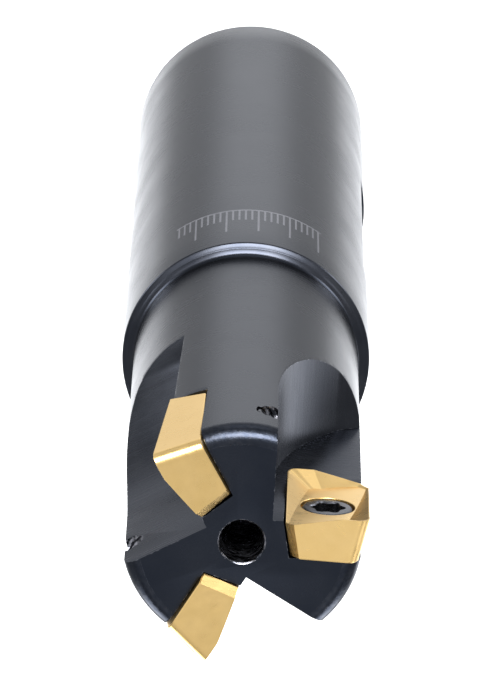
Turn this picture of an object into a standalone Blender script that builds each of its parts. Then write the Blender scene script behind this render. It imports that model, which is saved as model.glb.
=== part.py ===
"""Indexable square-shoulder face mill on a plain round shank.

The tool stands on the end of its shank. +Z runs along its axis, towards the cutting end,
and the origin is the centre of the shank's end face. It cuts with three carbide inserts,
spaced evenly round +Z, the first of them towards +X. Seen from the cutting end the tool
turns counter-clockwise, so each insert's rake face looks that way.
"""
import math

import bmesh
import bpy
from mathutils import Matrix, Vector

MM = 0.001

# Driving dimensions, in millimetres and degrees.
SHANK_RADIUS = 10.0
NECK_RADIUS = 9.05
BODY_LENGTH = 104.0
NECK_LENGTH = 39.3                 # front face to the foot of the shoulder
SHOULDER_LENGTH = 1.75
SHOULDER_FILLET = 0.6
SHANK_END_CHAMFER = 1.2
FRONT_EDGE_RADIUS = 1.35           # rounded edge between the neck and the front face
FRONT_HOLE_RADIUS = 1.7
FRONT_HOLE_DEPTH = 12.0
FRONT_HOLE_CHAMFER = 0.2
DRILL_POINT_SLOPE = math.tan(math.radians(31.0))
CENTRE_MOUTH_RADIUS = 2.6          # lathe centre in the shank's end
CENTRE_PILOT_RADIUS = 1.0
CENTRE_PILOT_DEPTH = 2.2
CENTRE_CONE_SLOPE = math.tan(math.radians(60.0))

FLAT_DEPTH = 1.8                   # flat for a side-lock holder's clamp screw
FLAT_LENGTH = 22.0
FLAT_FROM_SHANK_END = 24.0
FLAT_DIRECTION = -18.0             # degrees round +Z from the first insert

STATION_COUNT = 3
AXIAL_RAKE = 2.7
SEAT_CENTRE = Vector((6.34, -1.28, -4.49))   # outward, towards the rake side, from the front face

FLUTE_FLOOR_HEIGHT = 2.9           # above the insert's seat
FLUTE_TOP_HEIGHT = 14.0
CORE_WALL_RADIUS = 2.2             # distance of the flute's wall from the tool's axis
CORE_WALL_STRAIGHT = 9.0
FLUTE_RUNOUT_RADIUS = 22.7
FLUTE_RUNOUT_ANGLE = 38.0
FLUTE_CORNER_RADIUS = 3.0
FLUTE_CORNER_ANGLE = 60.0
CUTTER_REACH = 14.0                # how far a large cutter runs past the steel
CUTTER_OVERRUN = 1.0               # how far a small cutter runs past the face it opens
DRILL_TIP_RADIUS = 0.1             # the blunt point of a drilled hole

INSERT_WIDTH = 6.44                # over the cutting edges
INSERT_LENGTH = 11.88
NOSE_HEIGHT = 3.7
HEEL_HEIGHT = 2.8                  # at the two corners that don't cut
END_EDGE_FLAT = 2.0                # level stretch of the end edge beside each cutting corner
CLEARANCE_SLOPE = math.tan(math.radians(11.0))
END_EDGE_SLOPE = math.tan(math.radians(2.4))
INSERT_LEAN = 1.5                  # turns the long edge so that it sweeps a true cylinder
NOSE_RADIUS = 0.8
HEEL_CHAMFER = 0.65
CHIP_LAND = 0.25
CHIP_LAND_DROP = 0.05
CHIP_GROOVE_WIDTH = 1.1
CHIP_GROOVE_DEPTH = 0.45
CENTRE_LAND_HEIGHT = 3.0
EDGE_STEPS = 5
NOSE_STEPS = 5

HEAD_RADIUS = 1.95
HEAD_TOP = 2.7                     # above the insert's seat
HEAD_RIM = 0.25
HEAD_CONE_FOOT = 1.2
SCREW_RADIUS = 1.15
SCREW_TIP = -4.0
SCREW_TIP_CHAMFER = 0.3
SOCKET_RADIUS = 1.22
SOCKET_LOBE_DEPTH = 0.18
SOCKET_DEPTH = 1.1
SOCKET_POINTS = 48

SEAT_GAP = 0.1
WALL_GAP = 0.15
SCREW_GAP = 0.15
POCKET_RELIEF_RADIUS = 0.65
POCKET_RELIEF_DEPTH = 0.2
ROUND_SEGMENTS = 96
SMALL_SEGMENTS = 32
ARC_STEPS = 8
SHARP_ANGLE = math.radians(25.0)


def clear_scene():
    """Removes every object that the file opened with."""
    for item in list(bpy.data.objects):
        bpy.data.objects.remove(item, do_unlink=True)


def make_material(name, colour, metallic, roughness):
    """A plain Principled material."""
    material = bpy.data.materials.new(name)
    material.use_nodes = True
    shader = material.node_tree.nodes["Principled BSDF"]
    shader.inputs["Base Color"].default_value = (*colour, 1.0)
    shader.inputs["Metallic"].default_value = metallic
    shader.inputs["Roughness"].default_value = roughness
    material.diffuse_color = (*colour, 1.0)
    return material


def mesh_from_rings(name, rings, close_ends=True, close_loop=False):
    """Joins rings of points, given in millimetres, with quads.

    close_ends caps the first and the last ring. close_loop joins the last ring to the first.
    """
    mesh = bpy.data.meshes.new(name)
    work = bmesh.new()
    rows = [[work.verts.new(Vector(point) * MM) for point in ring] for ring in rings]
    pairs = list(zip(rows, rows[1:]))
    if close_loop:
        pairs.append((rows[-1], rows[0]))
    for lower, upper in pairs:
        count = len(lower)
        for index in range(count):
            after = (index + 1) % count
            work.faces.new((lower[index], lower[after], upper[after], upper[index]))
    if close_ends:
        work.faces.new(list(reversed(rows[0])))
        work.faces.new(rows[-1])
    bmesh.ops.recalc_face_normals(work, faces=work.faces)
    work.to_mesh(mesh)
    work.free()
    return mesh


def turned_mesh(name, profile, segments):
    """Turns a profile of (radius, height) points, listed bottom to top, round +Z."""
    rings = []
    for radius, height in profile:
        ring = []
        for step in range(segments):
            angle = 2.0 * math.pi * step / segments
            ring.append((radius * math.cos(angle), radius * math.sin(angle), height))
        rings.append(ring)
    return mesh_from_rings(name, rings)


def arc(centre, radius, start, end, steps):
    """Points on an arc in a plane, angles in degrees, both ends included."""
    points = []
    for step in range(steps + 1):
        angle = math.radians(start + (end - start) * step / steps)
        points.append((centre[0] + radius * math.cos(angle), centre[1] + radius * math.sin(angle)))
    return points


def add_object(name, mesh, matrix, material=None):
    """Places a mesh in the scene. The matrix's shift is in metres."""
    item = bpy.data.objects.new(name, mesh)
    bpy.context.scene.collection.objects.link(item)
    item.matrix_world = matrix
    if material is not None:
        mesh.materials.append(material)
        mesh.shade_smooth()
        mesh.set_sharp_from_angle(angle=SHARP_ANGLE)
    return item


def add_cutter(name, mesh, matrix):
    """A solid that only serves to cut another."""
    item = add_object(name, mesh, matrix)
    item.hide_render = True
    item.display_type = "WIRE"
    return item


def cut(target, cutter):
    """Takes the cutter's shape out of the target."""
    step = target.modifiers.new(cutter.name, "BOOLEAN")
    step.operation = "DIFFERENCE"
    step.solver = "EXACT"
    step.object = cutter


def station_matrix(index):
    """Places an insert's seat: x outward, y out of the seat, z towards the front face."""
    turn = Matrix.Rotation(2.0 * math.pi * index / STATION_COUNT, 4, "Z")
    place = Matrix.Translation((SEAT_CENTRE + Vector((0.0, 0.0, BODY_LENGTH))) * MM)
    tilt = Matrix.Rotation(math.radians(-AXIAL_RAKE), 4, "X")
    return turn @ place @ tilt


def insert_matrix(index):
    """The seat, turned a little in its own plane so that the long edge runs true."""
    return station_matrix(index) @ Matrix.Rotation(math.radians(-INSERT_LEAN), 4, "Y")


def body_profile():
    """The turned outline of the steel body, from the shank's end to the front face."""
    shoulder = BODY_LENGTH - NECK_LENGTH
    slope = math.degrees(math.atan2(SHOULDER_LENGTH, SHANK_RADIUS - NECK_RADIUS))
    outline = [(SHANK_RADIUS - SHANK_END_CHAMFER, 0.0), (SHANK_RADIUS, SHANK_END_CHAMFER)]
    outline.append((SHANK_RADIUS, shoulder - SHOULDER_LENGTH))
    turn_start = 180.0 + 90.0 - slope
    cone_foot = shoulder - SHOULDER_FILLET * math.tan(math.radians((90.0 - slope) / 2.0))
    fillet_top = cone_foot + 2.0 * (shoulder - cone_foot)
    centre = (NECK_RADIUS + SHOULDER_FILLET, fillet_top)
    outline += arc(centre, SHOULDER_FILLET, turn_start, 180.0, ARC_STEPS // 2)
    edge_centre = (NECK_RADIUS - FRONT_EDGE_RADIUS, BODY_LENGTH - FRONT_EDGE_RADIUS)
    outline += arc(edge_centre, FRONT_EDGE_RADIUS, 0.0, 90.0, ARC_STEPS // 2)
    return outline


def flute_outline():
    """The flute seen square to its floor: (outward, towards the front face) points."""
    wall = CORE_WALL_RADIUS - SEAT_CENTRE.x
    bend = -CORE_WALL_STRAIGHT - SEAT_CENTRE.z
    outline = [(wall, CUTTER_REACH)]
    centre = (wall + FLUTE_RUNOUT_RADIUS, bend)
    outline += arc(centre, FLUTE_RUNOUT_RADIUS, 180.0, 180.0 + FLUTE_RUNOUT_ANGLE, ARC_STEPS)
    inward = math.radians(FLUTE_RUNOUT_ANGLE)
    corner_x = outline[-1][0] + FLUTE_CORNER_RADIUS * math.cos(inward)
    corner_y = outline[-1][1] + FLUTE_CORNER_RADIUS * math.sin(inward)
    corner_end = 180.0 + FLUTE_CORNER_ANGLE
    corner_start = 180.0 + FLUTE_RUNOUT_ANGLE
    outline += arc((corner_x, corner_y), FLUTE_CORNER_RADIUS, corner_start, corner_end, ARC_STEPS // 2)[1:]
    last_x, last_y = outline[-1]
    slope = 1.0 / math.tan(math.radians(FLUTE_CORNER_ANGLE))
    outline.append((CUTTER_REACH, last_y - (CUTTER_REACH - last_x) * slope))
    outline.append((CUTTER_REACH, CUTTER_REACH))
    return outline


def prism(name, lower, upper, low_height, high_height):
    """A block between two outlines of (x, z) points at two heights along +Y."""
    rings = [[(x, low_height, z) for x, z in lower], [(x, high_height, z) for x, z in upper]]
    return mesh_from_rings(name, rings)


def pocket_outline(height):
    """The pocket at a height over its floor: two walls follow the insert's flanks."""
    inset = (NOSE_HEIGHT - height) * CLEARANCE_SLOPE
    wall = -(INSERT_WIDTH / 2.0 - inset) - WALL_GAP
    back = -(INSERT_LENGTH / 2.0 - inset) - WALL_GAP
    half_width = INSERT_WIDTH / 2.0
    near = back + (wall + half_width) * END_EDGE_SLOPE
    far = back + (CUTTER_REACH + half_width) * END_EDGE_SLOPE
    return [(wall, CUTTER_REACH), (wall, near), (CUTTER_REACH, far), (CUTTER_REACH, CUTTER_REACH)]


def along_normal(mesh):
    """Turns a mesh that was made round +Z so that it runs along +Y instead."""
    mesh.transform(Matrix.Rotation(math.radians(-90.0), 4, "X"))
    return mesh


def cylinder_mesh(name, radius, low, high, segments):
    """A plain round bar along +Z."""
    return turned_mesh(name, [(radius, low), (radius, high)], segments)


def insert_outline(height):
    """The insert's edge at a height over its seat, counter-clockwise from the outer side."""
    inset = (NOSE_HEIGHT - height) * CLEARANCE_SLOPE
    half_width = INSERT_WIDTH / 2.0 - inset
    half_length = INSERT_LENGTH / 2.0 - inset

    def end_edge(x):
        return half_length + (x - INSERT_WIDTH / 2.0) * END_EDGE_SLOPE

    def spread(start, end):
        parts = []
        for step in range(1, EDGE_STEPS):
            share = step / EDGE_STEPS
            parts.append((start[0] + (end[0] - start[0]) * share, start[1] + (end[1] - start[1]) * share))
        return parts

    nose_centre = (half_width - NOSE_RADIUS, end_edge(half_width) - NOSE_RADIUS)
    nose = arc(nose_centre, NOSE_RADIUS, 0.0, 90.0, NOSE_STEPS)
    heel_end = (-half_width + HEEL_CHAMFER, end_edge(-half_width + HEEL_CHAMFER))
    heel_side = (-half_width, end_edge(-half_width) - HEEL_CHAMFER)
    half = nose + spread(nose[-1], heel_end) + [heel_end, heel_side]
    opposite = [(-x, -z) for x, z in half]
    outline = half + spread(heel_side, opposite[0])
    outline += opposite + spread((-heel_side[0], -heel_side[1]), nose[0])
    return outline


def edge_height(x, z):
    """The rake face is highest at the two cutting corners and falls to the other two."""
    across = x / (INSERT_WIDTH / 2.0)
    along = z / (INSERT_LENGTH / 2.0)
    if abs(along) >= abs(across):
        from_nose = (1.0 - across * math.copysign(1.0, along)) * INSERT_WIDTH / 2.0
        share = (from_nose - END_EDGE_FLAT) / (INSERT_WIDTH - END_EDGE_FLAT)
    else:
        share = (1.0 - along * math.copysign(1.0, across)) / 2.0
    return NOSE_HEIGHT - (NOSE_HEIGHT - HEEL_HEIGHT) * max(0.0, min(1.0, share))


def drawn_in(x, z, distance):
    """Moves a point towards the insert's long middle line and away from its ends."""
    half_width = INSERT_WIDTH / 2.0
    half_length = INSERT_LENGTH / 2.0
    return (x * (1.0 - distance / half_width), z * (1.0 - distance / half_length))


def insert_mesh():
    """Rings from the seat, up the flanks, over the rake face and down through the hole."""
    top = insert_outline(NOSE_HEIGHT)
    bottom = insert_outline(0.0)
    edge = []
    land = []
    groove = []
    for (x, z), (low_x, low_z) in zip(top, bottom):
        height = edge_height(x, z)
        share = height / NOSE_HEIGHT
        edge_x = low_x + (x - low_x) * share
        edge_z = low_z + (z - low_z) * share
        edge.append((edge_x, height, edge_z))
        land_x, land_z = drawn_in(edge_x, edge_z, CHIP_LAND)
        land.append((land_x, height - CHIP_LAND_DROP, land_z))
        groove_x, groove_z = drawn_in(edge_x, edge_z, CHIP_GROOVE_WIDTH)
        groove_height = min(height - CHIP_GROOVE_DEPTH, CENTRE_LAND_HEIGHT)
        groove.append((groove_x, groove_height, groove_z))
    mouth = HEAD_RADIUS + WALL_GAP
    hole = SCREW_RADIUS + SCREW_GAP

    def circle(radius, height):
        ring = []
        for x, z in top:
            angle = math.atan2(z, x)
            ring.append((radius * math.cos(angle), height, radius * math.sin(angle)))
        return ring

    plateau = circle(mouth + WALL_GAP, CENTRE_LAND_HEIGHT)
    cone_foot = HEAD_CONE_FOOT - SEAT_GAP
    rings = [[(x, SEAT_GAP, z) for x, z in bottom], edge, land, groove, plateau]
    rings += [circle(mouth, CENTRE_LAND_HEIGHT), circle(mouth, HEAD_TOP - HEAD_RIM - SEAT_GAP)]
    rings += [circle(hole, cone_foot), circle(hole, SEAT_GAP)]
    return mesh_from_rings("insert", rings, close_ends=False, close_loop=True)


def screw_mesh():
    """The turned screw, made round +Z with its seat at zero, before its socket is cut."""
    profile = [(SCREW_RADIUS - SCREW_TIP_CHAMFER, SCREW_TIP), (SCREW_RADIUS, SCREW_TIP + SCREW_TIP_CHAMFER)]
    profile.append((SCREW_RADIUS, HEAD_CONE_FOOT))
    profile.append((HEAD_RADIUS, HEAD_TOP - HEAD_RIM))
    profile.append((HEAD_RADIUS, HEAD_TOP - HEAD_RIM / 2.0))
    profile.append((HEAD_RADIUS - HEAD_RIM / 2.0, HEAD_TOP))
    return turned_mesh("insert_screw", profile, SMALL_SEGMENTS)


def socket_mesh():
    """A six-lobed socket, wider than deep."""
    rings = []
    for height in (HEAD_TOP - SOCKET_DEPTH, HEAD_TOP + SOCKET_DEPTH):
        ring = []
        for step in range(SOCKET_POINTS):
            angle = 2.0 * math.pi * step / SOCKET_POINTS
            radius = SOCKET_RADIUS - SOCKET_LOBE_DEPTH * (1.0 - math.cos(6.0 * angle)) / 2.0
            ring.append((radius * math.cos(angle), radius * math.sin(angle), height))
        rings.append(ring)
    return mesh_from_rings("socket", rings)


def cut_front_hole(body):
    """A blind drilled hole in the front face, with a broken edge."""
    floor = BODY_LENGTH - FRONT_HOLE_DEPTH
    tip = floor - FRONT_HOLE_RADIUS * DRILL_POINT_SLOPE
    profile = [(DRILL_TIP_RADIUS, tip), (FRONT_HOLE_RADIUS, floor)]
    profile.append((FRONT_HOLE_RADIUS, BODY_LENGTH - FRONT_HOLE_CHAMFER))
    profile.append((FRONT_HOLE_RADIUS + 2.0 * FRONT_HOLE_CHAMFER, BODY_LENGTH + FRONT_HOLE_CHAMFER))
    cutter = add_cutter("front_hole_cutter", turned_mesh("front_hole", profile, SMALL_SEGMENTS), Matrix())
    cut(body, cutter)


def cut_shank_centre(body):
    """The lathe centre in the shank's end: a cone with a small pilot drilled past it."""
    cone_depth = (CENTRE_MOUTH_RADIUS - CENTRE_PILOT_RADIUS) * CENTRE_CONE_SLOPE
    mouth = CENTRE_MOUTH_RADIUS + CUTTER_OVERRUN / CENTRE_CONE_SLOPE
    end = cone_depth + CENTRE_PILOT_DEPTH
    profile = [(mouth, -CUTTER_OVERRUN), (CENTRE_PILOT_RADIUS, cone_depth)]
    profile.append((CENTRE_PILOT_RADIUS, end))
    profile.append((DRILL_TIP_RADIUS, end + CENTRE_PILOT_RADIUS * DRILL_POINT_SLOPE))
    cutter = add_cutter("shank_centre_cutter", turned_mesh("shank_centre", profile, SMALL_SEGMENTS), Matrix())
    cut(body, cutter)


def cut_flat(body):
    """The clamping flat, milled across one side of the shank."""
    near = SHANK_RADIUS - FLAT_DEPTH
    outline = [(near, -SHANK_RADIUS), (near + SHANK_RADIUS, -SHANK_RADIUS)]
    outline += [(near + SHANK_RADIUS, SHANK_RADIUS), (near, SHANK_RADIUS)]
    low = FLAT_FROM_SHANK_END
    rings = [[(x, y, height) for x, y in outline] for height in (low, low + FLAT_LENGTH)]
    turn = Matrix.Rotation(math.radians(FLAT_DIRECTION), 4, "Z")
    cut(body, add_cutter("flat_cutter", mesh_from_rings("flat", rings), turn))


def cut_station(body, index):
    """One flute, the pocket under it and the tapped hole through the lobe behind it."""
    seat = station_matrix(index)
    pocket = insert_matrix(index)
    number = index + 1
    outline = flute_outline()
    flute = prism("flute", outline, outline, FLUTE_FLOOR_HEIGHT, FLUTE_TOP_HEIGHT)
    cut(body, add_cutter(f"flute_cutter_{number}", flute, seat))
    top = FLUTE_FLOOR_HEIGHT + CUTTER_OVERRUN
    seat_prism = prism("pocket", pocket_outline(0.0), pocket_outline(top), 0.0, top)
    cut(body, add_cutter(f"pocket_cutter_{number}", seat_prism, pocket))
    corner = pocket_outline(0.0)[1]
    relief = cylinder_mesh("relief", POCKET_RELIEF_RADIUS, -POCKET_RELIEF_DEPTH, top, SMALL_SEGMENTS)
    shift = Matrix.Translation(Vector((corner[0], 0.0, corner[1])) * MM)
    cut(body, add_cutter(f"relief_cutter_{number}", along_normal(relief), pocket @ shift))
    hole_radius = SCREW_RADIUS + SCREW_GAP
    hole = cylinder_mesh("screw_hole", hole_radius, -CUTTER_REACH, CUTTER_OVERRUN, SMALL_SEGMENTS)
    cut(body, add_cutter(f"screw_hole_cutter_{number}", along_normal(hole), pocket))


def build_body(steel):
    """The shank, neck and cutting head are one piece of steel."""
    blank = turned_mesh("cutter_body", body_profile(), ROUND_SEGMENTS)
    body = add_object("cutter_body", blank, Matrix(), steel)
    cut_front_hole(body)
    cut_shank_centre(body)
    cut_flat(body)
    for index in range(STATION_COUNT):
        cut_station(body, index)
    return body


def build_station(index, carbide, screw_steel):
    """One insert and the screw that holds it. Each has its origin on the screw's axis."""
    number = index + 1
    place = insert_matrix(index)
    add_object(f"insert_{number}", insert_mesh(), place, carbide)
    screw = add_object(f"insert_screw_{number}", along_normal(screw_mesh()), place, screw_steel)
    cut(screw, add_cutter(f"socket_cutter_{number}", along_normal(socket_mesh()), place))


def main():
    clear_scene()
    steel = make_material("black_oxide_steel", (0.055, 0.06, 0.07), 0.9, 0.38)
    carbide = make_material("gold_coated_carbide", (0.72, 0.47, 0.14), 1.0, 0.3)
    screw_steel = make_material("dark_screw_steel", (0.06, 0.065, 0.075), 0.9, 0.3)
    build_body(steel)
    for index in range(STATION_COUNT):
        build_station(index, carbide, screw_steel)


main()
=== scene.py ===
"""Looks of the indexable face mill: fine meshes, materials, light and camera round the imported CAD.

The tool stands on its shank's end face, +Z towards the cutting end, first insert towards +X.
Lengths here are millimetres until MM turns them into the frame's metres. Surface patterns are so
shallow that their depths are in microns.
"""

import math

import bmesh
import bpy
from mathutils import Matrix, Vector


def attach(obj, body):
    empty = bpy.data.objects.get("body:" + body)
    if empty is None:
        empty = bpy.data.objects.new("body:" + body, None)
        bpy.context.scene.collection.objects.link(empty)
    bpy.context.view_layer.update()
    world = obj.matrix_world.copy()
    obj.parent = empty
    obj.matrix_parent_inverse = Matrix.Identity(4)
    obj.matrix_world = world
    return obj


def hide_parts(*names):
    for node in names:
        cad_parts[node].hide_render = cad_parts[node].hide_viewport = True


MM = 0.001
MICRON = 0.000001

# Body. Its shoulder and the chamfer of its front hole differ a little from the CAD's.
SHANK_RADIUS = 10.0
NECK_RADIUS = 9.05
BODY_LENGTH = 104.0
SHOULDER_START = 63.0              # height at which the shoulder leaves the shank
SHOULDER_SLOPE = 57.0              # its face's normal, in degrees above level
SHOULDER_EDGE_RADIUS = 0.2
SHOULDER_FILLET = 0.5
SHOULDER_LINE_DEPTH = 0.016
# The fine turned line across the shoulder's face: share of the way in, share of the line's depth.
SHOULDER_LINE = ((0.40, 0.0), (0.47, 1.0), (0.53, 1.0), (0.60, 0.0))
SHANK_END_CHAMFER = 1.2
FRONT_EDGE_RADIUS = 1.35
FRONT_HOLE_RADIUS = 1.7
FRONT_HOLE_DEPTH = 12.0
FRONT_HOLE_CHAMFER = 0.1
DRILL_POINT_SLOPE = math.tan(math.radians(31.0))
DRILL_TIP_RADIUS = 0.1
CENTRE_MOUTH_RADIUS = 2.6
CENTRE_PILOT_RADIUS = 1.0
CENTRE_PILOT_DEPTH = 2.2
CENTRE_CONE_SLOPE = math.tan(math.radians(60.0))
FLAT_DEPTH = 1.8
FLAT_LENGTH = 22.0
FLAT_FROM_SHANK_END = 24.0
FLAT_DIRECTION = -18.0

# Stations: a flute, a pocket, an insert and its screw.
STATION_COUNT = 3
AXIAL_RAKE = 2.7
SEAT_CENTRE = Vector((6.34, -1.28, -4.49))
FLUTE_FLOOR_HEIGHT = 2.9
FLUTE_TOP_HEIGHT = 14.0
CORE_WALL_RADIUS = 2.2
CORE_WALL_STRAIGHT = 9.0
FLUTE_RUNOUT_RADIUS = 22.7
FLUTE_RUNOUT_ANGLE = 38.0
FLUTE_CORNER_RADIUS = 3.0
FLUTE_CORNER_ANGLE = 60.0
CUTTER_REACH = 14.0
CUTTER_OVERRUN = 1.0
POCKET_RELIEF_RADIUS = 0.65
POCKET_RELIEF_DEPTH = 0.2

# Inserts. The rake face is simpler than the CAD's: straight facets down to a flat floor.
INSERT_WIDTH = 6.44
INSERT_LENGTH = 11.88
NOSE_HEIGHT = 3.7
HEEL_HEIGHT = 2.8
END_EDGE_FLAT = 2.0
CLEARANCE_SLOPE = math.tan(math.radians(11.0))
END_EDGE_SLOPE = math.tan(math.radians(2.4))
INSERT_LEAN = 1.5
NOSE_RADIUS = 0.8
HEEL_CHAMFER = 0.65
HONE_RADIUS = 0.045                # rounding of the cutting edge
HONE_INSET = HONE_RADIUS * 0.3     # how far the rounding's middle lies inside the sharp edge
LAND_WIDTH = 0.11                  # narrow land behind the cutting edge
LAND_DROP = 0.01
RAKE_FLOOR_HEIGHT = 2.75           # the flat floor round the screw
FACET_AT_HEEL = 0.12               # width of the slope down to it, at the corners that don't cut
FACET_AT_NOSE = 1.8                # and at the cutting corners
SEAT_EDGE_CHAMFER = 0.08
MOUTH_GAP = 0.1                    # between the screw's head and the hole's mouth
MOUTH_ROUNDING = 0.06
SEAT_GAP = 0.1
WALL_GAP = 0.15

# Screws, M2.5.
HEAD_RADIUS = 1.95
HEAD_TOP = 2.7
HEAD_RIM = 0.32
HEAD_ROUNDING = HEAD_RIM * 0.8
HEAD_CONE_FOOT = 1.2
SCREW_RADIUS = 1.15
SCREW_GAP = 0.15
SCREW_TIP = -4.0
THREAD_PITCH = 0.45
THREAD_DEPTH = 0.16
THREAD_TOP = 0.1                   # height over the seat where the thread ends
SOCKET_LOBES = 6
SOCKET_RADIUS = 1.30
SOCKET_LOBE_DEPTH = 0.26
SOCKET_DEPTH = 1.1
SOCKET_POINT_RADIUS = SOCKET_RADIUS * 0.5
SOCKET_POINT_DEPTH = SOCKET_DEPTH * 1.15
SOCKET_RIM_CHAMFER = 0.09

# Resolution of the fine meshes.
ROUND_SEGMENTS = 360
HOLE_SEGMENTS = 96
ARC_STEPS = 32
HEAD_ROUNDING_STEPS = 6
HEEL_STEPS = 4                     # points along the chamfer of a corner that doesn't cut
TAPPED_ROWS_PER_TURN = 6           # rings to one turn of the tapped holes' thread
SCREW_ROWS_PER_TURN = 8            # and of the screws'
OUTLINE_STEP = 0.22                # spacing of points along the insert's straight edges
EDGE_BREAK = 0.07                  # broken edges of the black steel
EDGE_BREAK_SEGMENTS = 2
SHANK_RING_STEP = 4.0              # spacing of the rings along the turned body
NECK_RING_STEP = 1.0
SMOOTH_ANGLE = math.radians(28.0)
INSERT_SMOOTH_ANGLE = math.radians(12.0)
MILLED = 1                         # the body's second material, in its flutes and pockets
DRILLED = 2                        # and its third, inside its holes

# Laser-marked graduation on the shank, its directions in degrees.
MARK_LOW = 54.7
MARK_MIDDLE = 57.2
MARK_HIGH = 60.0
MARK_LINE_HALF_WIDTH = 0.12
MARK_START = 56.0
MARK_END = 128.0
MARK_STEP = 3.0
MARK_LONG_EVERY = 5.0
MARK_TICK_EDGE = (0.10, 0.20)      # a tick's soft edge, in steps from its middle
RADIUS_MARGIN = 0.1                # margin that tells the turned surfaces apart by their radius

# Wear along sharp edges.
WEAR_SAMPLES = 4
WEAR_BEND = (0.985, 0.90)          # cosine of the edge's turn where wear starts and where it is full
WEAR_BREAKUP = (0.52, 0.70)        # noise values between which a worn edge comes through

# Colours, as linear RGBA. A pair holds the two shades that an uneven surface runs between.
OXIDE = ((0.027, 0.032, 0.044, 1.0), (0.034, 0.039, 0.051, 1.0))
OXIDE_GRAIN = (0.016, 0.018, 0.026, 1.0)
MILLED_OXIDE = ((0.038, 0.041, 0.049, 1.0), (0.045, 0.048, 0.056, 1.0))
MILLED_TINT = (0.80, 0.81, 0.84, 1.0)
TORN_STEEL = ((0.030, 0.033, 0.040, 1.0), (0.44, 0.44, 0.48, 1.0))
BARE_STEEL = (0.42, 0.43, 0.47, 1.0)
RUBBED_STEEL = (0.17, 0.17, 0.18, 1.0)
MARKED_STEEL = (0.34, 0.34, 0.37, 1.0)
GOLD = ((0.85, 0.580, 0.225, 1.0), (0.90, 0.625, 0.26, 1.0))
GOLD_GRAIN = (0.74, 0.49, 0.17, 1.0)
WORN_GOLD = (0.98, 0.86, 0.56, 1.0)
SCREW_STEEL = ((0.085, 0.088, 0.100, 1.0), (0.14, 0.142, 0.155, 1.0))
WORN_SCREW_STEEL = (0.50, 0.50, 0.54, 1.0)
FLOOR_PAINT = ((0.90, 0.90, 0.90, 1.0), (0.92, 0.92, 0.92, 1.0))
STUDIO_COLOUR = (0.955, 0.970, 1.0, 1.0)

# The camera: far off and long, looking down on the cutting end.
CAMERA_PLACE = Vector((-6.015, 162.853, 526.018))
CAMERA_TURN = (-19.20865, 0.46410, 3.27)
CAMERA_LENS = 320.8
CAMERA_SENSOR = 36.0
CAMERA_CLIP_START = 10.0
FLOOR_SIZE = 3000.0
FLOOR_SQUARES = 8

# Brightness of the studio round the tool.
BELOW_LIGHT = 1.22
HORIZON_LIGHT = 0.45
OVERHEAD_LIGHT = 0.72
DARKEST_LIGHT = 0.02
BACKDROP_LIGHT = 1.12
BELOW_FADE = (-0.88, -0.45)        # heights in the sky, -1 to 1, between which the light changes
OVERHEAD_FADE = (0.55, 0.80)
# Soft boxes, and flags where the last number is negative:
# direction, half width, half height and blur in degrees, strength.
SOFT_BOXES = (
    ((0.0, 0.72, 0.69), 18.0, 13.0, 4.0, 18.0),
    ((0.0, 0.95, -0.31), 16.0, 12.0, 6.0, 0.9),
    ((0.32, 0.90, 0.29), 9.0, 7.0, 4.0, 0.9),
    ((0.0, -0.42, -0.91), 15.0, 15.0, 9.0, 1.4),
    ((0.31, 0.15, -0.94), 10.0, 9.0, 5.0, -0.72),
    ((-0.31, 0.15, -0.94), 10.0, 9.0, 5.0, -0.72),
    ((0.72, -0.35, -0.60), 14.0, 14.0, 8.0, 2.0),
    ((-0.50, 0.50, 0.68), 14.0, 14.0, 8.0, 1.1),
    ((0.10, -0.75, 0.66), 20.0, 16.0, 8.0, 0.45),
    ((0.55, -0.83, -0.09), 8.0, 20.0, 5.0, 6.5),
    ((-0.50, -0.86, -0.09), 7.0, 20.0, 4.0, 6.5),
    ((-0.93, 0.35, -0.09), 8.0, 20.0, 5.0, 6.5),
    ((0.85, 0.53, -0.09), 8.0, 20.0, 5.0, 6.5),
)
FLOOR_LAMP_ANGLE = 70.0
FLOOR_LAMP_POWER = 4.5


# ---------------------------------------------------------------- shapes

def arc(centre, radius, start, end, steps):
    """Points on an arc in a plane, angles in degrees, both ends included."""
    points = []
    for step in range(steps + 1):
        angle = math.radians(start + (end - start) * step / steps)
        points.append((centre[0] + radius * math.cos(angle), centre[1] + radius * math.sin(angle)))
    return points


def mesh_from_rings(name, rings, close_ends=True, close_loop=False):
    """Joins rings of points, in millimetres, with quads."""
    work = bmesh.new()
    rows = [[work.verts.new(Vector(point) * MM) for point in ring] for ring in rings]
    pairs = list(zip(rows, rows[1:]))
    if close_loop:
        pairs.append((rows[-1], rows[0]))
    for lower, upper in pairs:
        count = len(lower)
        for index in range(count):
            after = (index + 1) % count
            work.faces.new((lower[index], lower[after], upper[after], upper[index]))
    if close_ends:
        work.faces.new(list(reversed(rows[0])))
        work.faces.new(rows[-1])
    bmesh.ops.recalc_face_normals(work, faces=work.faces)
    mesh = bpy.data.meshes.new(name)
    work.to_mesh(mesh)
    work.free()
    return mesh


def circle(radius, height, segments):
    """A ring of points round +Z."""
    turns = [2.0 * math.pi * step / segments for step in range(segments)]
    return [(radius * math.cos(turn), radius * math.sin(turn), height) for turn in turns]


def turned_mesh(name, profile, segments):
    """Turns a profile of (radius, height) points, listed bottom to top, round +Z."""
    return mesh_from_rings(name, [circle(radius, height, segments) for radius, height in profile])


def along_normal(mesh):
    """Turns a mesh that was made round +Z so that it runs along +Y instead."""
    mesh.transform(Matrix.Rotation(math.radians(-90.0), 4, "X"))
    return mesh


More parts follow.
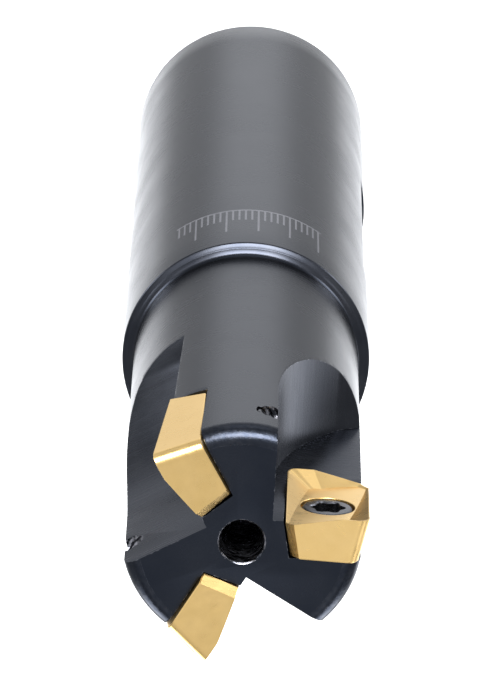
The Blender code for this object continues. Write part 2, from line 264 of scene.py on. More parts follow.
def add_object(name, mesh, matrix=None, materials=(), material_index=0):
    """Bakes the place into the mesh, so that every piece has its origin at the frame's."""
    if matrix is not None:
        mesh.transform(matrix)
    for material in materials:
        mesh.materials.append(material)
    for face in mesh.polygons:
        face.material_index = material_index
    item = bpy.data.objects.new(name, mesh)
    bpy.context.scene.collection.objects.link(item)
    return item


def apply_modifiers(item):
    """Leaves the object with its evaluated mesh and no modifiers."""
    graph = bpy.context.evaluated_depsgraph_get()
    mesh = bpy.data.meshes.new_from_object(item.evaluated_get(graph))
    item.modifiers.clear()
    item.data = mesh


def cut(target, mesh, matrix=None, material_index=0):
    """Takes one solid out of the target. The new faces take that material of the target's."""
    cutter = add_object("cutter", mesh, matrix, target.data.materials[:], material_index)
    step = target.modifiers.new("cut", "BOOLEAN")
    step.operation = "DIFFERENCE"
    step.solver = "EXACT"
    step.object = cutter
    apply_modifiers(target)
    bpy.data.objects.remove(cutter, do_unlink=True)


def break_edges(item, width, segments):
    """Rounds the sharp edges of a cut solid a little."""
    step = item.modifiers.new("edges", "BEVEL")
    step.width = width * MM
    step.segments = segments
    step.limit_method = "ANGLE"
    step.angle_limit = SMOOTH_ANGLE
    step.use_clamp_overlap = True
    step.harden_normals = False
    step.miter_outer = "MITER_ARC"
    apply_modifiers(item)


def finish_piece(item, body, node, smooth_angle=SMOOTH_ANGLE):
    """Gives a piece its shading and its body, and hides the CAD part that it stands for."""
    item.data.shade_smooth()
    item.data.set_sharp_from_angle(angle=smooth_angle)
    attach(item, body)
    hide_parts(node)


def station_matrix(index):
    """Places an insert's seat: x outward, y out of the seat, z towards the front face."""
    turn = Matrix.Rotation(2.0 * math.pi * index / STATION_COUNT, 4, "Z")
    place = Matrix.Translation((SEAT_CENTRE + Vector((0.0, 0.0, BODY_LENGTH))) * MM)
    return turn @ place @ Matrix.Rotation(math.radians(-AXIAL_RAKE), 4, "X")


def insert_matrix(index):
    """The seat, turned a little in its own plane so that the long edge runs true."""
    return station_matrix(index) @ Matrix.Rotation(math.radians(-INSERT_LEAN), 4, "Y")


# ---------------------------------------------------------------- cutter body

def rings_along(radius, low, high, step):
    """Points up a straight cylinder, both ends left out."""
    count = int((high - low) / step)
    return [(radius, low + (high - low) * index / count) for index in range(1, count)]


def shoulder_points():
    """The shoulder: a rounded edge, a cone with one fine turned line, a fillet to the neck."""
    edge_centre = (SHANK_RADIUS - SHOULDER_EDGE_RADIUS, SHOULDER_START)
    points = arc(edge_centre, SHOULDER_EDGE_RADIUS, 0.0, SHOULDER_SLOPE, ARC_STEPS // 4)
    start_radius, start_height = points[-1]
    turn = math.radians(SHOULDER_SLOPE)
    end_radius = NECK_RADIUS + SHOULDER_FILLET * (1.0 - math.cos(turn))
    end_height = start_height + (start_radius - end_radius) / math.tan(turn)
    for share, line_share in SHOULDER_LINE:
        depth = SHOULDER_LINE_DEPTH * line_share
        radius = start_radius + (end_radius - start_radius) * share - depth * math.cos(turn)
        height = start_height + (end_height - start_height) * share - depth * math.sin(turn)
        points.append((radius, height))
    fillet_centre = (NECK_RADIUS + SHOULDER_FILLET, end_height + SHOULDER_FILLET * math.sin(turn))
    fillet_start = 180.0 + SHOULDER_SLOPE
    return points + arc(fillet_centre, SHOULDER_FILLET, fillet_start, 180.0, ARC_STEPS // 2)


def body_profile():
    """The turned outline of the steel body, from the shank's end to the front face."""
    outline = [(SHANK_RADIUS - SHANK_END_CHAMFER, 0.0), (SHANK_RADIUS, SHANK_END_CHAMFER)]
    outline += rings_along(SHANK_RADIUS, SHANK_END_CHAMFER, SHOULDER_START, SHANK_RING_STEP)
    outline += shoulder_points()
    edge_centre = (NECK_RADIUS - FRONT_EDGE_RADIUS, BODY_LENGTH - FRONT_EDGE_RADIUS)
    outline += rings_along(NECK_RADIUS, outline[-1][1], edge_centre[1], NECK_RING_STEP)
    outline += arc(edge_centre, FRONT_EDGE_RADIUS, 0.0, 90.0, ARC_STEPS)
    return outline


def flute_outline():
    """The flute seen square to its floor: (outward, towards the front face) points."""
    wall = CORE_WALL_RADIUS - SEAT_CENTRE.x
    bend = -CORE_WALL_STRAIGHT - SEAT_CENTRE.z
    outline = [(wall, CUTTER_REACH)]
    centre = (wall + FLUTE_RUNOUT_RADIUS, bend)
    outline += arc(centre, FLUTE_RUNOUT_RADIUS, 180.0, 180.0 + FLUTE_RUNOUT_ANGLE, ARC_STEPS)
    inward = math.radians(FLUTE_RUNOUT_ANGLE)
    corner = (outline[-1][0] + FLUTE_CORNER_RADIUS * math.cos(inward),
              outline[-1][1] + FLUTE_CORNER_RADIUS * math.sin(inward))
    start = 180.0 + FLUTE_RUNOUT_ANGLE
    outline += arc(corner, FLUTE_CORNER_RADIUS, start, 180.0 + FLUTE_CORNER_ANGLE, ARC_STEPS // 2)[1:]
    last_x, last_y = outline[-1]
    slope = 1.0 / math.tan(math.radians(FLUTE_CORNER_ANGLE))
    outline.append((CUTTER_REACH, last_y - (CUTTER_REACH - last_x) * slope))
    outline.append((CUTTER_REACH, CUTTER_REACH))
    return outline


def pocket_outline(height):
    """The pocket at a height over its floor: two walls follow the insert's flanks."""
    inset = (NOSE_HEIGHT - height) * CLEARANCE_SLOPE
    wall = -(INSERT_WIDTH / 2.0 - inset) - WALL_GAP
    back = -(INSERT_LENGTH / 2.0 - inset) - WALL_GAP
    half_width = INSERT_WIDTH / 2.0
    near = back + (wall + half_width) * END_EDGE_SLOPE
    far = back + (CUTTER_REACH + half_width) * END_EDGE_SLOPE
    return [(wall, CUTTER_REACH), (wall, near), (CUTTER_REACH, far), (CUTTER_REACH, CUTTER_REACH)]


def prism(name, lower, upper, low_height, high_height):
    """A block between two outlines of (x, z) points at two heights along +Y."""
    rings = [[(x, low_height, z) for x, z in lower], [(x, high_height, z) for x, z in upper]]
    return mesh_from_rings(name, rings)


def thread_ring(radius, height, segments, crest_share=1.0):
    """One ring of a thread round +Z: its crests are at radius, its roots THREAD_DEPTH inside."""
    ring = []
    for step in range(segments):
        turn = step / segments
        phase = (height / THREAD_PITCH - turn) % 1.0
        crest = crest_share * (1.0 - abs(2.0 * phase - 1.0))
        reach = radius - THREAD_DEPTH * (1.0 - crest)
        angle = 2.0 * math.pi * turn
        ring.append((reach * math.cos(angle), reach * math.sin(angle), height))
    return ring


def thread_mesh(name, radius, low, high, segments):
    """A screw-threaded bar round +Z, which cuts a tapped hole."""
    count = int(round((high - low) / THREAD_PITCH * TAPPED_ROWS_PER_TURN))
    heights = [low + (high - low) * row / count for row in range(count + 1)]
    return mesh_from_rings(name, [thread_ring(radius, height, segments) for height in heights])


def cut_turned_holes(body):
    """The drilled hole in the front face and the lathe centre in the shank's end."""
    floor = BODY_LENGTH - FRONT_HOLE_DEPTH
    profile = [(DRILL_TIP_RADIUS, floor - FRONT_HOLE_RADIUS * DRILL_POINT_SLOPE)]
    profile.append((FRONT_HOLE_RADIUS, floor))
    profile.append((FRONT_HOLE_RADIUS, BODY_LENGTH - FRONT_HOLE_CHAMFER))
    profile.append((FRONT_HOLE_RADIUS + 2.0 * FRONT_HOLE_CHAMFER, BODY_LENGTH + FRONT_HOLE_CHAMFER))
    cut(body, turned_mesh("front_hole", profile, HOLE_SEGMENTS), None, DRILLED)
    depth = (CENTRE_MOUTH_RADIUS - CENTRE_PILOT_RADIUS) * CENTRE_CONE_SLOPE
    end = depth + CENTRE_PILOT_DEPTH
    profile = [(CENTRE_MOUTH_RADIUS + CUTTER_OVERRUN / CENTRE_CONE_SLOPE, -CUTTER_OVERRUN)]
    profile += [(CENTRE_PILOT_RADIUS, depth), (CENTRE_PILOT_RADIUS, end)]
    profile.append((DRILL_TIP_RADIUS, end + CENTRE_PILOT_RADIUS * DRILL_POINT_SLOPE))
    cut(body, turned_mesh("shank_centre", profile, HOLE_SEGMENTS), None, DRILLED)


def cut_flat(body):
    """The clamping flat, milled across one side of the shank."""
    near = SHANK_RADIUS - FLAT_DEPTH
    far = near + SHANK_RADIUS
    outline = [(near, -SHANK_RADIUS), (far, -SHANK_RADIUS), (far, SHANK_RADIUS), (near, SHANK_RADIUS)]
    heights = (FLAT_FROM_SHANK_END, FLAT_FROM_SHANK_END + FLAT_LENGTH)
    rings = [[(x, y, height) for x, y in outline] for height in heights]
    cut(body, mesh_from_rings("flat", rings), Matrix.Rotation(math.radians(FLAT_DIRECTION), 4, "Z"))


def cut_station(body, index):
    """One flute, the pocket under it and the relief drilled in the pocket's corner."""
    outline = flute_outline()
    flute = prism("flute", outline, outline, FLUTE_FLOOR_HEIGHT, FLUTE_TOP_HEIGHT)
    cut(body, flute, station_matrix(index), MILLED)
    pocket = insert_matrix(index)
    top = FLUTE_FLOOR_HEIGHT + CUTTER_OVERRUN
    cut(body, prism("pocket", pocket_outline(0.0), pocket_outline(top), 0.0, top), pocket, MILLED)
    corner = pocket_outline(0.0)[1]
    relief = turned_mesh("relief", [(POCKET_RELIEF_RADIUS, -POCKET_RELIEF_DEPTH),
                                    (POCKET_RELIEF_RADIUS, top)], HOLE_SEGMENTS // 2)
    shift = Matrix.Translation(Vector((corner[0], 0.0, corner[1])) * MM)
    cut(body, along_normal(relief), pocket @ shift, DRILLED)


def cut_tapped_hole(body, index):
    """The threaded hole, which breaks out on the neck beside the next flute."""
    root = SCREW_RADIUS + SCREW_GAP
    hole = thread_mesh("tapped_hole", root, -CUTTER_REACH, CUTTER_OVERRUN, HOLE_SEGMENTS // 2)
    cut(body, along_normal(hole), insert_matrix(index), DRILLED)


def build_body(skin, milled, drilled):
    """The shank, neck and cutting head are one piece of steel."""
    blank = turned_mesh("cutter_steel", body_profile(), ROUND_SEGMENTS)
    body = add_object("cutter_steel", blank, None, (skin, milled, drilled))
    cut_turned_holes(body)
    cut_flat(body)
    for index in range(STATION_COUNT):
        cut_station(body, index)
    break_edges(body, EDGE_BREAK, EDGE_BREAK_SEGMENTS)
    for index in range(STATION_COUNT):
        cut_tapped_hole(body, index)
    finish_piece(body, "cutter_body", "cutter_body")


# ---------------------------------------------------------------- inserts

def insert_outline(height):
    """The insert's edge at a height over its seat, counter-clockwise from the outer side."""
    inset = (NOSE_HEIGHT - height) * CLEARANCE_SLOPE
    half_width = INSERT_WIDTH / 2.0 - inset
    half_length = INSERT_LENGTH / 2.0 - inset

    def end_edge(x):
        return half_length + (x - INSERT_WIDTH / 2.0) * END_EDGE_SLOPE

    def spread(start, end, steps):
        shares = [step / steps for step in range(1, steps)]
        return [(start[0] + (end[0] - start[0]) * s, start[1] + (end[1] - start[1]) * s) for s in shares]

    end_steps = int(INSERT_WIDTH / OUTLINE_STEP)
    side_steps = int(INSERT_LENGTH / OUTLINE_STEP)
    nose_centre = (half_width - NOSE_RADIUS, end_edge(half_width) - NOSE_RADIUS)
    nose = arc(nose_centre, NOSE_RADIUS, 0.0, 90.0, ARC_STEPS // 2)
    heel_end = (-half_width + HEEL_CHAMFER, end_edge(-half_width + HEEL_CHAMFER))
    heel_side = (-half_width, end_edge(-half_width) - HEEL_CHAMFER)
    half = nose + spread(nose[-1], heel_end, end_steps) + [heel_end]
    half += spread(heel_end, heel_side, HEEL_STEPS) + [heel_side]
    opposite = [(-x, -z) for x, z in half]
    outline = half + spread(heel_side, opposite[0], side_steps)
    return outline + opposite + spread((-heel_side[0], -heel_side[1]), nose[0], side_steps)


def nose_share(x, z):
    """1 at the two cutting corners and 0 at the other two, along the insert's edge."""
    across = x / (INSERT_WIDTH / 2.0)
    along = z / (INSERT_LENGTH / 2.0)
    if abs(along) >= abs(across):
        from_nose = (1.0 - across * math.copysign(1.0, along)) * INSERT_WIDTH / 2.0
        fall = (from_nose - END_EDGE_FLAT) / (INSERT_WIDTH - END_EDGE_FLAT)
    else:
        fall = (1.0 - along * math.copysign(1.0, across)) / 2.0
    return 1.0 - max(0.0, min(1.0, fall))


def drawn_in(x, z, distance):
    """Moves a point towards the insert's middle by a distance measured from both edges."""
    return (x * (1.0 - distance / (INSERT_WIDTH / 2.0)), z * (1.0 - distance / (INSERT_LENGTH / 2.0)))


def insert_rings():
    """Rings from the seat up the flanks, over the rake face and down through the hole."""
    top = insert_outline(NOSE_HEIGHT)
    bottom = insert_outline(0.0)
    pairs = list(zip(top, bottom))

    def flank(height_of):
        ring = []
        for (x, z), (low_x, low_z) in pairs:
            height = height_of(x, z)
            share = height / NOSE_HEIGHT
            ring.append((low_x + (x - low_x) * share, height, low_z + (z - low_z) * share))
        return ring

    def edge_height(x, z):
        return HEEL_HEIGHT + (NOSE_HEIGHT - HEEL_HEIGHT) * nose_share(x, z)

    def rake(distance_of, drop_of):
        ring = []
        for (x, z), (edge_x, edge_y, edge_z) in zip(top, flank(edge_height)):
            share = nose_share(x, z)
            in_x, in_z = drawn_in(edge_x, edge_z, distance_of(share))
            ring.append((in_x, edge_y - drop_of(edge_y), in_z))
        return ring

    def hole_ring(radius, height):
        angles = [math.atan2(z, x) for x, z in top]
        return [(radius * math.cos(a), height, radius * math.sin(a)) for a in angles]

    def facet_width(share):
        return FACET_AT_HEEL + (FACET_AT_NOSE - FACET_AT_HEEL) * share

    rings = [[(x * (1.0 - SEAT_EDGE_CHAMFER / INSERT_WIDTH), SEAT_GAP, z) for x, z in bottom]]
    rings.append(flank(lambda x, z: SEAT_GAP + SEAT_EDGE_CHAMFER))
    rings.append(flank(lambda x, z: edge_height(x, z) / 2.0))
    rings.append(flank(lambda x, z: edge_height(x, z) - HONE_RADIUS))
    rings.append(rake(lambda share: HONE_INSET, lambda height: HONE_INSET))
    rings.append(rake(lambda share: HONE_RADIUS, lambda height: 0.0))
    rings.append(rake(lambda share: LAND_WIDTH, lambda height: LAND_DROP))
    rings.append(rake(facet_width, lambda height: height - RAKE_FLOOR_HEIGHT))
    mouth = HEAD_RADIUS + MOUTH_GAP
    centre = (mouth + MOUTH_ROUNDING, RAKE_FLOOR_HEIGHT - MOUTH_ROUNDING)
    for radius, height in arc(centre, MOUTH_ROUNDING, 90.0, 180.0, ARC_STEPS // 4):
        rings.append(hole_ring(radius, height))
    rings.append(hole_ring(mouth, HEAD_TOP - HEAD_RIM - SEAT_GAP))
    rings.append(hole_ring(SCREW_RADIUS + SCREW_GAP, HEAD_CONE_FOOT - SEAT_GAP))
    rings.append(hole_ring(SCREW_RADIUS + SCREW_GAP, SEAT_GAP))
    return rings


def build_insert(index, material):
    """One parallelogram insert: ground flanks, and facets that fall to a flat floor round the screw."""
    number = index + 1
    mesh = mesh_from_rings("insert", insert_rings(), close_ends=False, close_loop=True)
    item = add_object(f"carbide_insert_{number}", mesh, insert_matrix(index), (material,))
    name = f"insert_{number}"
    finish_piece(item, name, name, INSERT_SMOOTH_ANGLE)


# ---------------------------------------------------------------- screws

def socket_ring(radius, height):
    """One ring of the six-lobed socket."""
    ring = []
    for step in range(HOLE_SEGMENTS):
        angle = 2.0 * math.pi * step / HOLE_SEGMENTS
        reach = radius - SOCKET_LOBE_DEPTH * (1.0 - math.cos(SOCKET_LOBES * angle)) / 2.0
        ring.append((reach * math.cos(angle), reach * math.sin(angle), height))
    return ring


def screw_rings():
    """Rings from the tip, up the thread, over the head and down into the socket."""
    length = THREAD_TOP - SCREW_TIP
    rows = int(length / THREAD_PITCH * SCREW_ROWS_PER_TURN)
    rings = [circle(SCREW_RADIUS - 2.0 * THREAD_DEPTH, SCREW_TIP, HOLE_SEGMENTS)]
    for row in range(1, rows + 1):
        height = SCREW_TIP + length * row / rows
        run_in = min(1.0, (height - SCREW_TIP) / THREAD_PITCH)
        rings.append(thread_ring(SCREW_RADIUS, height, HOLE_SEGMENTS, run_in))
    neck = SCREW_RADIUS - THREAD_DEPTH
    profile = [(neck, THREAD_TOP + THREAD_DEPTH), (neck, HEAD_CONE_FOOT - THREAD_DEPTH)]
    profile += [(SCREW_RADIUS, HEAD_CONE_FOOT), (HEAD_RADIUS, HEAD_TOP - HEAD_RIM)]
    centre = (HEAD_RADIUS - HEAD_ROUNDING, HEAD_TOP - HEAD_ROUNDING)
    profile += arc(centre, HEAD_ROUNDING, 0.0, 90.0, HEAD_ROUNDING_STEPS)
    rings += [circle(radius, height, HOLE_SEGMENTS) for radius, height in profile]
    rings.append(socket_ring(SOCKET_RADIUS + SOCKET_RIM_CHAMFER, HEAD_TOP))
    rings.append(socket_ring(SOCKET_RADIUS, HEAD_TOP - SOCKET_RIM_CHAMFER))
    rings.append(socket_ring(SOCKET_RADIUS, HEAD_TOP - SOCKET_DEPTH))
    rings.append(circle(SOCKET_POINT_RADIUS, HEAD_TOP - SOCKET_POINT_DEPTH, HOLE_SEGMENTS))
    return rings


def build_screw(index, material):
    """One countersunk six-lobe screw with a real helical thread."""
    number = index + 1
    mesh = along_normal(mesh_from_rings("screw", screw_rings()))
    item = add_object(f"clamp_screw_{number}", mesh, insert_matrix(index), (material,))
    body = f"insert_screw_{number}"
    finish_piece(item, body, body)


# ---------------------------------------------------------------- materials

class Nodes:
    """A short way to write node trees."""

    def __init__(self, tree):
        self.tree = tree

    def add(self, kind, **settings):
        """A new node with these settings."""
        node = self.tree.nodes.new(kind)
        for key, value in settings.items():
            setattr(node, key, value)
        return node

    def put(self, socket, value):
        """Links an output to the input, or sets the input's own value."""
        if isinstance(value, bpy.types.NodeSocket):
            self.tree.links.new(value, socket)
        elif value is not None:
            socket.default_value = value

    def maths(self, operation, first, second=None, third=None, clamp=False):
        node = self.add("ShaderNodeMath", operation=operation, use_clamp=clamp)
        for socket, value in zip(node.inputs, (first, second, third)):
            self.put(socket, value)
        return node.outputs[0]

    def spread(self, value, low, high, to_low=0.0, to_high=1.0, smooth_step=False):
        """Maps low..high to to_low..to_high, and no further."""
        node = self.add("ShaderNodeMapRange")
        node.interpolation_type = "SMOOTHSTEP" if smooth_step else "LINEAR"
        for name, what in (("Value", value), ("From Min", low), ("From Max", high),
                           ("To Min", to_low), ("To Max", to_high)):
            self.put(node.inputs[name], what)
        return node.outputs[0]

    def noise(self, vector, scale, detail, roughness=0.55):
        node = self.add("ShaderNodeTexNoise")
        self.put(node.inputs["Vector"], vector)
        node.inputs["Scale"].default_value = scale
        node.inputs["Detail"].default_value = detail
        node.inputs["Roughness"].default_value = roughness
        return node.outputs["Fac"]

    def mix(self, share, first, second):
        node = self.add("ShaderNodeMix", data_type="RGBA")
        self.put(node.inputs[0], share)
        self.put(node.inputs[6], first)
        self.put(node.inputs[7], second)
        return node.outputs[2]

    def stretched(self, vector, scale):
        node = self.add("ShaderNodeMapping")
        self.put(node.inputs["Vector"], vector)
        node.inputs["Scale"].default_value = scale
        return node.outputs["Vector"]

    def bump(self, height, distance, strength, normal=None):
        node = self.add("ShaderNodeBump")
        node.inputs["Strength"].default_value = strength
        node.inputs["Distance"].default_value = distance
        self.put(node.inputs["Height"], height)
        self.put(node.inputs["Normal"], normal)
        return node.outputs["Normal"]


def new_material(name, metallic):
    """A material, its nodes, its shader and the place on the piece that its patterns follow."""
    material = bpy.data.materials.new(name)
    material.use_nodes = True
    nodes = Nodes(material.node_tree)
    shader = material.node_tree.nodes["Principled BSDF"]
    shader.inputs["Metallic"].default_value = metallic
    place = nodes.add("ShaderNodeTexCoord").outputs["Object"]
    return material, nodes, shader, place


def worn_edges(nodes, place, radius, breakup_scale):
    """1 along sharp edges, broken up as real wear is, and 0 elsewhere."""
    rounded = nodes.add("ShaderNodeBevel", samples=WEAR_SAMPLES)
    rounded.inputs["Radius"].default_value = radius
    flat = nodes.add("ShaderNodeNewGeometry").outputs["Normal"]
    dot = nodes.add("ShaderNodeVectorMath", operation="DOT_PRODUCT")
    nodes.put(dot.inputs[0], rounded.outputs["Normal"])
    nodes.put(dot.inputs[1], flat)
    edge = nodes.spread(dot.outputs["Value"], *WEAR_BEND)
    broken = nodes.spread(nodes.noise(place, breakup_scale, detail=4.0), *WEAR_BREAKUP)
    return nodes.maths("MULTIPLY", edge, broken, clamp=True)


def round_coordinates(nodes, place):
    """(direction round +Z in degrees, distance from the axis, height) of a shaded point."""
    split = nodes.add("ShaderNodeSeparateXYZ")
    nodes.put(split.inputs[0], place)
    x, y, z = split.outputs
    degrees = nodes.maths("MULTIPLY", nodes.maths("ARCTAN2", y, x), math.degrees(1.0))
    squares = nodes.maths("ADD", nodes.maths("POWER", x, 2.0), nodes.maths("POWER", y, 2.0))
    return degrees, nodes.maths("SQRT", squares), z


def graduation_mask(nodes, place, degrees, radius, z):
    """Laser-marked ticks round part of the shank, every fifth one long, over a thin line."""
    steps = nodes.maths("DIVIDE", nodes.maths("SUBTRACT", degrees, MARK_START), MARK_STEP)
    off_tick = nodes.maths("ABSOLUTE", nodes.maths("SUBTRACT", nodes.maths("FRACT", steps), 0.5))
    tick = nodes.spread(off_tick, *MARK_TICK_EDGE, to_low=1.0, to_high=0.0)
    fifth = nodes.maths("FRACT", nodes.maths("DIVIDE", nodes.maths("FLOOR", steps), MARK_LONG_EVERY))
    long_tick = nodes.maths("LESS_THAN", fifth, 0.5 / MARK_LONG_EVERY)
    top = nodes.spread(long_tick, 0.0, 1.0, MARK_MIDDLE * MM, MARK_HIGH * MM)
    above = nodes.maths("GREATER_THAN", z, MARK_LOW * MM)
    inside = nodes.maths("MULTIPLY", above, nodes.maths("LESS_THAN", z, top))
    line = nodes.maths("COMPARE", z, MARK_LOW * MM, MARK_LINE_HALF_WIDTH * MM)
    shape = nodes.maths("MAXIMUM", nodes.maths("MULTIPLY", tick, inside), line)
    within = nodes.maths("MULTIPLY", nodes.maths("GREATER_THAN", degrees, MARK_START),
                         nodes.maths("LESS_THAN", degrees, MARK_END))
    on_skin = nodes.maths("GREATER_THAN", radius, (SHANK_RADIUS - RADIUS_MARGIN) * MM)
    mask = nodes.maths("MULTIPLY", nodes.maths("MULTIPLY", shape, within), on_skin)
    speckle = nodes.spread(nodes.noise(place, scale=9000.0, detail=2.0), 0.30, 0.60, 0.45, 0.85)
    return nodes.maths("MULTIPLY", mask, speckle, clamp=True)


def on_shoulder(nodes, radius, z):
    """1 on the shoulder, where holders and hands rub, and 0 elsewhere."""
    above = nodes.maths("GREATER_THAN", z, SHOULDER_START * MM)
    outside = nodes.maths("GREATER_THAN", radius, (NECK_RADIUS + RADIUS_MARGIN) * MM)
    return nodes.maths("MULTIPLY", above, outside)


def rim_dents(nodes, place, radius, z):
    """Strength of the knocks and rubbing on the rounded edge of the front face, 0 elsewhere."""
    near_edge = nodes.maths("GREATER_THAN", radius, (NECK_RADIUS - FRONT_EDGE_RADIUS) * MM)
    near_front = nodes.maths("GREATER_THAN", z, (BODY_LENGTH - FRONT_EDGE_RADIUS) * MM)
    on_rim = nodes.maths("MULTIPLY", near_edge, near_front)
    return nodes.maths("MULTIPLY", on_rim, nodes.noise(place, scale=2600.0, detail=3.0, roughness=0.6))


def black_oxide():
    """Blued black steel: satin, finely turned, a little uneven, rubbed bright at its edges."""
    material, nodes, shader, place = new_material("black_oxide_steel", metallic=1.0)
    degrees, radius, z = round_coordinates(nodes, place)
    cloud = nodes.noise(place, scale=220.0, detail=4.0)
    grain = nodes.noise(place, scale=6500.0, detail=3.0, roughness=0.6)
    turning = nodes.noise(nodes.stretched(place, scale=(9.0, 9.0, 5200.0)), scale=1.0, detail=2.0)
    colour = nodes.mix(nodes.spread(cloud, 0.35, 0.65), *OXIDE)
    colour = nodes.mix(nodes.spread(grain, 0.35, 0.75, to_high=0.25), colour, OXIDE_GRAIN)
    wear = worn_edges(nodes, place, radius=100.0 * MICRON, breakup_scale=2300.0)
    colour = nodes.mix(wear, colour, BARE_STEEL)
    dents = rim_dents(nodes, place, radius, z)
    colour = nodes.mix(nodes.spread(dents, 0.40, 0.75, to_high=0.12), colour, RUBBED_STEEL)
    shoulder = on_shoulder(nodes, radius, z)
    patches = nodes.spread(cloud, 0.3, 0.7, to_low=0.08, to_high=0.20)
    colour = nodes.mix(nodes.maths("MULTIPLY", shoulder, patches), colour, RUBBED_STEEL)
    marks = graduation_mask(nodes, place, degrees, radius, z)
    colour = nodes.mix(marks, colour, MARKED_STEEL)
    nodes.put(shader.inputs["Base Color"], colour)
    rough = nodes.spread(cloud, 0.3, 0.7, to_low=0.23, to_high=0.29)
    rough = nodes.maths("ADD", rough, nodes.spread(turning, 0.3, 0.7, to_low=-0.015, to_high=0.015))
    rough = nodes.maths("ADD", rough, nodes.maths("MULTIPLY", marks, 0.22), clamp=True)
    nodes.put(shader.inputs["Roughness"], rough)
    normal = nodes.bump(turning, distance=0.4 * MICRON, strength=0.5)
    normal = nodes.bump(grain, distance=1.0 * MICRON, strength=0.5, normal=normal)
    normal = nodes.bump(dents, distance=22.0 * MICRON, strength=0.8, normal=normal)
    nodes.put(shader.inputs["Normal"], normal)
    return material


def milled_steel():
    """In the flutes and pockets: a shade lighter than the turned skin, with cutter marks."""
    material, nodes, shader, place = new_material("milled_steel", metallic=1.0)
    cloud = nodes.noise(place, scale=420.0, detail=4.0)
    sweep = nodes.noise(nodes.stretched(place, scale=(240.0, 240.0, 3600.0)), scale=1.0, detail=2.0)
    colour = nodes.mix(nodes.spread(cloud, 0.35, 0.65), *MILLED_OXIDE)
    wear = worn_edges(nodes, place, radius=100.0 * MICRON, breakup_scale=2300.0)
    nodes.put(shader.inputs["Base Color"], nodes.mix(wear, colour, BARE_STEEL))
    shader.inputs["Specular Tint"].default_value = MILLED_TINT
    rough = nodes.spread(cloud, 0.3, 0.7, to_low=0.25, to_high=0.29)
    rough = nodes.maths("ADD", rough, nodes.spread(sweep, 0.3, 0.7, to_low=-0.03, to_high=0.03))
    nodes.put(shader.inputs["Roughness"], rough)
    nodes.put(shader.inputs["Normal"], nodes.bump(sweep, distance=1.2 * MICRON, strength=0.5))
    return material


def drilled_steel():
    """Inside the holes: torn by the drill and tap, the oxide thin and bright metal showing."""
    material, nodes, shader, place = new_material("drilled_steel", metallic=1.0)
    stretched = nodes.stretched(place, scale=(1500.0, 1500.0, 4200.0))
    tears = nodes.noise(stretched, scale=1.0, detail=3.0, roughness=0.65)
    nodes.put(shader.inputs["Base Color"], nodes.mix(nodes.spread(tears, 0.44, 0.62), *TORN_STEEL))
    nodes.put(shader.inputs["Roughness"], nodes.spread(tears, 0.3, 0.7, to_low=0.20, to_high=0.38))
    nodes.put(shader.inputs["Normal"], nodes.bump(tears, distance=50.0 * MICRON, strength=0.9))
    return material


def gold_coating():
    """Golden nitride on ground carbide: satin, finely scratched, a shade uneven."""
    material, nodes, shader, place = new_material("gold_coated_carbide", metallic=1.0)
    cloud = nodes.noise(place, scale=420.0, detail=3.0)
    grain = nodes.noise(place, scale=9000.0, detail=3.0, roughness=0.6)
    grinding = nodes.noise(nodes.stretched(place, scale=(900.0, 900.0, 9000.0)), scale=1.0, detail=2.0)
    colour = nodes.mix(nodes.spread(cloud, 0.3, 0.7), *GOLD)
    colour = nodes.mix(nodes.spread(grain, 0.4, 0.8, to_high=0.18), colour, GOLD_GRAIN)
    wear = worn_edges(nodes, place, radius=70.0 * MICRON, breakup_scale=2600.0)
    colour = nodes.mix(nodes.maths("MULTIPLY", wear, 0.5), colour, WORN_GOLD)
    nodes.put(shader.inputs["Base Color"], colour)
    rough = nodes.spread(cloud, 0.3, 0.7, to_low=0.27, to_high=0.32)
    scratches = nodes.spread(grinding, 0.3, 0.7, to_low=-0.03, to_high=0.04)
    nodes.put(shader.inputs["Roughness"], nodes.maths("ADD", rough, scratches, clamp=True))
    normal = nodes.bump(grinding, distance=1.2 * MICRON, strength=0.6)
    normal = nodes.bump(grain, distance=1.5 * MICRON, strength=0.6, normal=normal)
    nodes.put(shader.inputs["Normal"], normal)
    return material


def screw_steel():
    """Dark heat-treated steel, lighter than the body and bright where a driver has rubbed it."""
    material, nodes, shader, place = new_material("dark_screw_steel", metallic=1.0)
    cloud = nodes.noise(place, scale=1200.0, detail=3.0)
    grain = nodes.noise(place, scale=12000.0, detail=2.0)
    colour = nodes.mix(nodes.spread(cloud, 0.3, 0.7), *SCREW_STEEL)
    wear = worn_edges(nodes, place, radius=60.0 * MICRON, breakup_scale=3200.0)
    colour = nodes.mix(nodes.maths("MULTIPLY", wear, 0.8), colour, WORN_SCREW_STEEL)
    nodes.put(shader.inputs["Base Color"], colour)
    nodes.put(shader.inputs["Roughness"], nodes.spread(cloud, 0.3, 0.7, to_low=0.22, to_high=0.32))
    nodes.put(shader.inputs["Normal"], nodes.bump(grain, distance=1.5 * MICRON, strength=0.5))
    return material


def floor_paint():
    """Plain pale studio floor with the faintest mottling."""
    material, nodes, shader, place = new_material("studio_floor", metallic=0.0)
    cloud = nodes.noise(place, scale=14.0, detail=3.0)
    nodes.put(shader.inputs["Base Color"], nodes.mix(nodes.spread(cloud, 0.3, 0.7), *FLOOR_PAINT))
    nodes.put(shader.inputs["Roughness"], nodes.spread(cloud, 0.3, 0.7, to_low=0.75, to_high=0.85))
    return material


# ---------------------------------------------------------------- studio

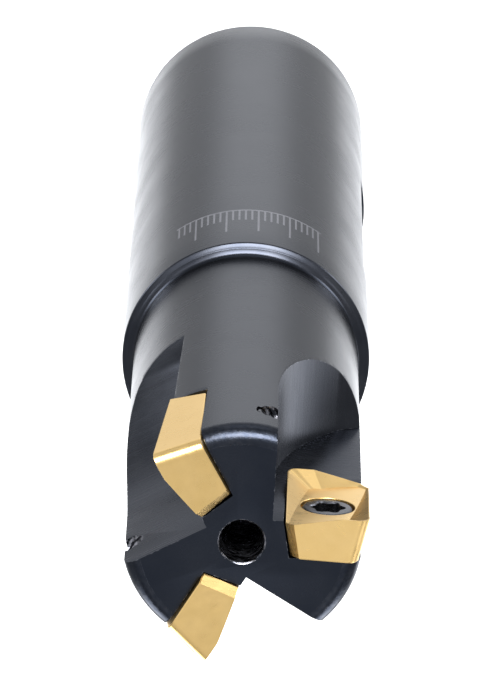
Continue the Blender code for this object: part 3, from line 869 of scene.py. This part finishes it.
def soft_box(nodes, direction, centre, half_width, half_height, blur, strength):
    """Light from a soft-edged rectangle in the sky. Its angles are in degrees."""
    aim = Vector(centre).normalized()
    side = aim.cross(Vector((0.0, 0.0, 1.0))).normalized()

    def along(axis):
        dot = nodes.add("ShaderNodeVectorMath", operation="DOT_PRODUCT")
        nodes.put(dot.inputs[0], direction)
        dot.inputs[1].default_value = axis
        return dot.outputs["Value"]

    def within(axis, half_size):
        outer = math.sin(math.radians(half_size + blur))
        inner = math.sin(math.radians(half_size - blur))
        off = nodes.maths("ABSOLUTE", along(axis))
        return nodes.spread(off, inner, outer, 1.0, 0.0, smooth_step=True)

    shape = nodes.maths("MULTIPLY", within(side, half_width), within(side.cross(aim), half_height))
    facing = nodes.maths("GREATER_THAN", along(aim), 0.0)
    return nodes.maths("MULTIPLY", nodes.maths("MULTIPLY", shape, facing), strength)


def build_world():
    """Studio surroundings: bright below, dimmer round the sides, with soft boxes and dark flags.

    They light the tool and show in its reflections. The camera itself sees a plain backdrop.
    """
    world = bpy.data.worlds.new("studio")
    bpy.context.scene.world = world
    world.use_nodes = True
    nodes = Nodes(world.node_tree)
    direction = nodes.add("ShaderNodeTexCoord").outputs["Generated"]
    split = nodes.add("ShaderNodeSeparateXYZ")
    nodes.put(split.inputs[0], direction)
    height = split.outputs[2]
    light = nodes.spread(height, *BELOW_FADE, BELOW_LIGHT, HORIZON_LIGHT, smooth_step=True)
    rise = OVERHEAD_LIGHT - HORIZON_LIGHT
    light = nodes.maths("ADD", light, nodes.spread(height, *OVERHEAD_FADE, 0.0, rise, smooth_step=True))
    for box in SOFT_BOXES:
        light = nodes.maths("ADD", light, soft_box(nodes, direction, *box))
    seen = nodes.add("ShaderNodeLightPath").outputs["Is Camera Ray"]
    light = nodes.spread(seen, 0.0, 1.0, nodes.maths("MAXIMUM", light, DARKEST_LIGHT), BACKDROP_LIGHT)
    background = world.node_tree.nodes["Background"]
    background.inputs["Color"].default_value = STUDIO_COLOUR
    nodes.put(background.inputs["Strength"], light)


def build_floor():
    """The pale floor that the tool stands on. It gives the camera a backdrop and nothing more."""
    work = bmesh.new()
    bmesh.ops.create_grid(work, x_segments=FLOOR_SQUARES, y_segments=FLOOR_SQUARES, size=FLOOR_SIZE * MM)
    mesh = bpy.data.meshes.new("floor")
    work.to_mesh(mesh)
    work.free()
    floor = add_object("floor", mesh)
    floor.data.materials.append(floor_paint())
    floor.visible_glossy = False
    floor.visible_diffuse = False
    floor.visible_shadow = False
    return floor


def build_floor_lamp(floor):
    """A broad lamp that lights the floor alone, so the tool casts a soft shadow on it."""
    lamp = bpy.data.lights.new("floor_lamp", "SUN")
    lamp.angle = math.radians(FLOOR_LAMP_ANGLE)
    lamp.energy = FLOOR_LAMP_POWER
    item = bpy.data.objects.new("floor_lamp", lamp)
    bpy.context.scene.collection.objects.link(item)
    receivers = bpy.data.collections.new("lit_by_floor_lamp")
    receivers.objects.link(floor)
    item.light_linking.receiver_collection = receivers


def build_studio():
    """The surroundings, the floor and its lamp."""
    build_world()
    build_floor_lamp(build_floor())


def build_camera():
    """The photograph's own viewing angle."""
    lens = bpy.data.cameras.new("camera")
    lens.lens = CAMERA_LENS
    lens.sensor_width = CAMERA_SENSOR
    lens.clip_start = CAMERA_CLIP_START * MM
    item = bpy.data.objects.new("camera", lens)
    bpy.context.scene.collection.objects.link(item)
    item.location = CAMERA_PLACE * MM
    item.rotation_euler = [math.radians(angle) for angle in CAMERA_TURN]
    bpy.context.scene.camera = item


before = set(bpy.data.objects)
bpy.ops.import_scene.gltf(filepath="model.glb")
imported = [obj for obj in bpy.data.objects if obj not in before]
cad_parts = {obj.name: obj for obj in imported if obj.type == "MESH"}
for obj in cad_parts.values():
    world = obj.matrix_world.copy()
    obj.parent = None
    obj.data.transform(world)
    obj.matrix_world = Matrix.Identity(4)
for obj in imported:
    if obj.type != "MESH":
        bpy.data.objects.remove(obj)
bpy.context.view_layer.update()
bpy.context.scene.view_settings.view_transform = "Standard"
gold = gold_coating()
dark = screw_steel()
build_body(black_oxide(), milled_steel(), drilled_steel())
for station in range(STATION_COUNT):
    build_insert(station, gold)
    build_screw(station, dark)
build_studio()
build_camera()
